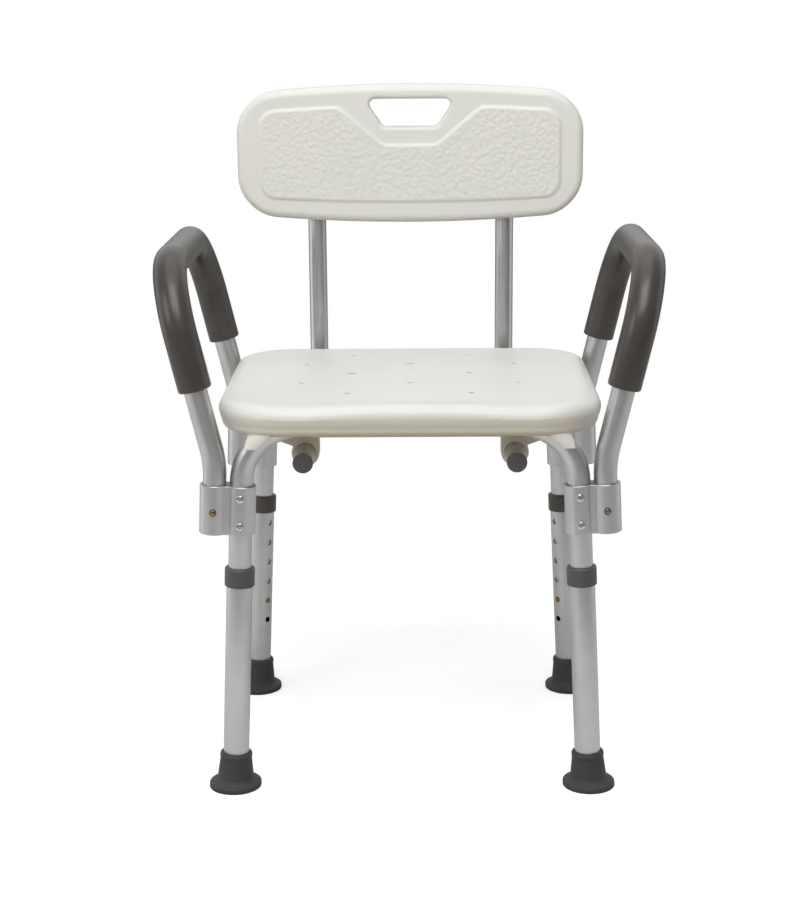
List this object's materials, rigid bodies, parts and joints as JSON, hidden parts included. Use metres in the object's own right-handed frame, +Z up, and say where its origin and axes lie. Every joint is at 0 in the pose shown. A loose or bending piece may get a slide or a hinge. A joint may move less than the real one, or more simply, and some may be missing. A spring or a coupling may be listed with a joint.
{
  "type": "bath chair",
  "caption": "Bath chair with a moulded seat and backrest, height-adjustable aluminium legs, rubber feet and padded lift-off armrests.",
  "frame": {"origin": "on the floor under the middle of the chair's bounding box", "axes": "+X to the right as seen from the front, +Y from the front edge towards the backrest, +Z up"},
  "size_m": [0.5518, 0.4074, 0.756],
  "materials": {
    "moulded_polyethylene": "fine satin, off-white",
    "satin_aluminium": "satin anodised",
    "foam_rubber": "smooth skinned foam, dark grey",
    "grey_plastic": "satin, dark grey",
    "grey_rubber": "matt, dark grey",
    "brass": "polished",
    "bright_steel": "bright plated"
  },
  "bodies": {
    "chair_frame": {"seat_panel": "moulded_polyethylene", "front_leg_frame": "satin_aluminium", "rear_leg_frame": "satin_aluminium", "arm_bracket_front_left": "satin_aluminium", "arm_bracket_front_right": "satin_aluminium", "arm_bracket_rear_left": "satin_aluminium", "arm_bracket_rear_right": "satin_aluminium", "bracket_screw_lower_front_left": "bright_steel", "bracket_screw_upper_front_left": "bright_steel", "bracket_screw_lower_front_right": "bright_steel", "bracket_screw_upper_front_right": "bright_steel", "bracket_screw_lower_rear_left": "bright_steel", "bracket_screw_upper_rear_left": "bright_steel", "bracket_screw_lower_rear_right": "bright_steel", "bracket_screw_upper_rear_right": "bright_steel", "seat_screw_left": "bright_steel", "seat_screw_right": "bright_steel"},
    "leg_front_left": {"leg_extension_front_left": "satin_aluminium", "leg_collar_front_left": "grey_plastic", "leg_foot_front_left": "grey_rubber"},
    "leg_front_right": {"leg_extension_front_right": "satin_aluminium", "leg_collar_front_right": "grey_plastic", "leg_foot_front_right": "grey_rubber"},
    "leg_rear_left": {"leg_extension_rear_left": "satin_aluminium", "leg_collar_rear_left": "grey_plastic", "leg_foot_rear_left": "grey_rubber"},
    "leg_rear_right": {"leg_extension_rear_right": "satin_aluminium", "leg_collar_rear_right": "grey_plastic", "leg_foot_rear_right": "grey_rubber"},
    "leg_button_front_left": {"leg_button_front_left": "brass"},
    "leg_button_front_right": {"leg_button_front_right": "brass"},
    "leg_button_rear_left": {"leg_button_rear_left": "brass"},
    "leg_button_rear_right": {"leg_button_rear_right": "brass"},
    "armrest_left": {"armrest_tube_left": "satin_aluminium", "armrest_sleeve_left": "foam_rubber"},
    "arm_button_front_left": {"arm_button_front_left": "brass"},
    "arm_button_rear_left": {"arm_button_rear_left": "brass"},
    "armrest_right": {"armrest_tube_right": "satin_aluminium", "armrest_sleeve_right": "foam_rubber"},
    "arm_button_front_right": {"arm_button_front_right": "brass"},
    "arm_button_rear_right": {"arm_button_rear_right": "brass"},
    "backrest": {"back_panel": "moulded_polyethylene", "back_tube_left": "satin_aluminium", "back_tube_cap_left": "grey_plastic", "panel_screw_lower_left": "bright_steel", "panel_screw_upper_left": "bright_steel", "back_tube_right": "satin_aluminium", "back_tube_cap_right": "grey_plastic", "panel_screw_lower_right": "bright_steel", "panel_screw_upper_right": "bright_steel"},
    "back_button_left": {"back_button_left": "brass"},
    "back_button_right": {"back_button_right": "brass"}
  },
  "joints": [
    {"name": "leg_height_front_left", "type": "slide", "parent": "chair_frame", "child": "leg_front_left", "axis": [-0.0462, 0, -0.9989], "range_m": [-0.0254, 0.1016], "deforming": ["leg_button_front_left"]},
    {"name": "leg_height_front_right", "type": "slide", "parent": "chair_frame", "child": "leg_front_right", "axis": [0.0462, 0, -0.9989], "range_m": [-0.0254, 0.1016], "deforming": ["leg_button_front_right"]},
    {"name": "leg_height_rear_left", "type": "slide", "parent": "chair_frame", "child": "leg_rear_left", "axis": [-0.0462, 0, -0.9989], "range_m": [-0.0254, 0.1016], "deforming": ["leg_button_rear_left"]},
    {"name": "leg_height_rear_right", "type": "slide", "parent": "chair_frame", "child": "leg_rear_right", "axis": [0.0462, 0, -0.9989], "range_m": [-0.0254, 0.1016], "deforming": ["leg_button_rear_right"]},
    {"name": "leg_button_press_front_left", "type": "slide", "parent": "chair_frame", "child": "leg_button_front_left", "axis": [-0.7064, -0.7071, 0.0327], "range_m": [0, 0.0035], "stiffness_N_per_m": 400, "springref_m": -0.003},
    {"name": "leg_button_press_front_right", "type": "slide", "parent": "chair_frame", "child": "leg_button_front_right", "axis": [0.7064, -0.7071, 0.0327], "range_m": [0, 0.0035], "stiffness_N_per_m": 400, "springref_m": -0.003},
    {"name": "leg_button_press_rear_left", "type": "slide", "parent": "chair_frame", "child": "leg_button_rear_left", "axis": [-0.7064, 0.7071, 0.0327], "range_m": [0, 0.0035], "stiffness_N_per_m": 400, "springref_m": -0.003},
    {"name": "leg_button_press_rear_right", "type": "slide", "parent": "chair_frame", "child": "leg_button_rear_right", "axis": [0.7064, 0.7071, 0.0327], "range_m": [0, 0.0035], "stiffness_N_per_m": 400, "springref_m": -0.003},
    {"name": "armrest_lift_left", "type": "slide", "parent": "chair_frame", "child": "armrest_left", "axis": [0.0462, 0, 0.9989], "range_m": [0, 0.05], "deforming": ["arm_button_front_left", "arm_button_rear_left"]},
    {"name": "arm_button_press_front_left", "type": "slide", "parent": "armrest_left", "child": "arm_button_front_left", "axis": [0, 1, 0], "range_m": [0, 0.005], "stiffness_N_per_m": 400, "springref_m": -0.003},
    {"name": "arm_button_press_rear_left", "type": "slide", "parent": "armrest_left", "child": "arm_button_rear_left", "axis": [0, -1, 0], "range_m": [0, 0.005], "stiffness_N_per_m": 400, "springref_m": -0.003},
    {"name": "armrest_lift_right", "type": "slide", "parent": "chair_frame", "child": "armrest_right", "axis": [-0.0462, 0, 0.9989], "range_m": [0, 0.05], "deforming": ["arm_button_front_right", "arm_button_rear_right"]},
    {"name": "arm_button_press_front_right", "type": "slide", "parent": "armrest_right", "child": "arm_button_front_right", "axis": [0, 1, 0], "range_m": [0, 0.005], "stiffness_N_per_m": 400, "springref_m": -0.003},
    {"name": "arm_button_press_rear_right", "type": "slide", "parent": "armrest_right", "child": "arm_button_rear_right", "axis": [0, -1, 0], "range_m": [0, 0.005], "stiffness_N_per_m": 400, "springref_m": -0.003},
    {"name": "backrest_slide", "type": "slide", "parent": "chair_frame", "child": "backrest", "axis": [0, 1, 0], "range_m": [0, 0.27], "deforming": ["back_button_left", "back_button_right"]},
    {"name": "back_button_press_left", "type": "slide", "parent": "backrest", "child": "back_button_left", "axis": [0, 0, 1], "range_m": [0, 0.006], "stiffness_N_per_m": 400, "springref_m": -0.003},
    {"name": "back_button_press_right", "type": "slide", "parent": "backrest", "child": "back_button_right", "axis": [0, 0, 1], "range_m": [0, 0.006], "stiffness_N_per_m": 400, "springref_m": -0.003}
  ]
}
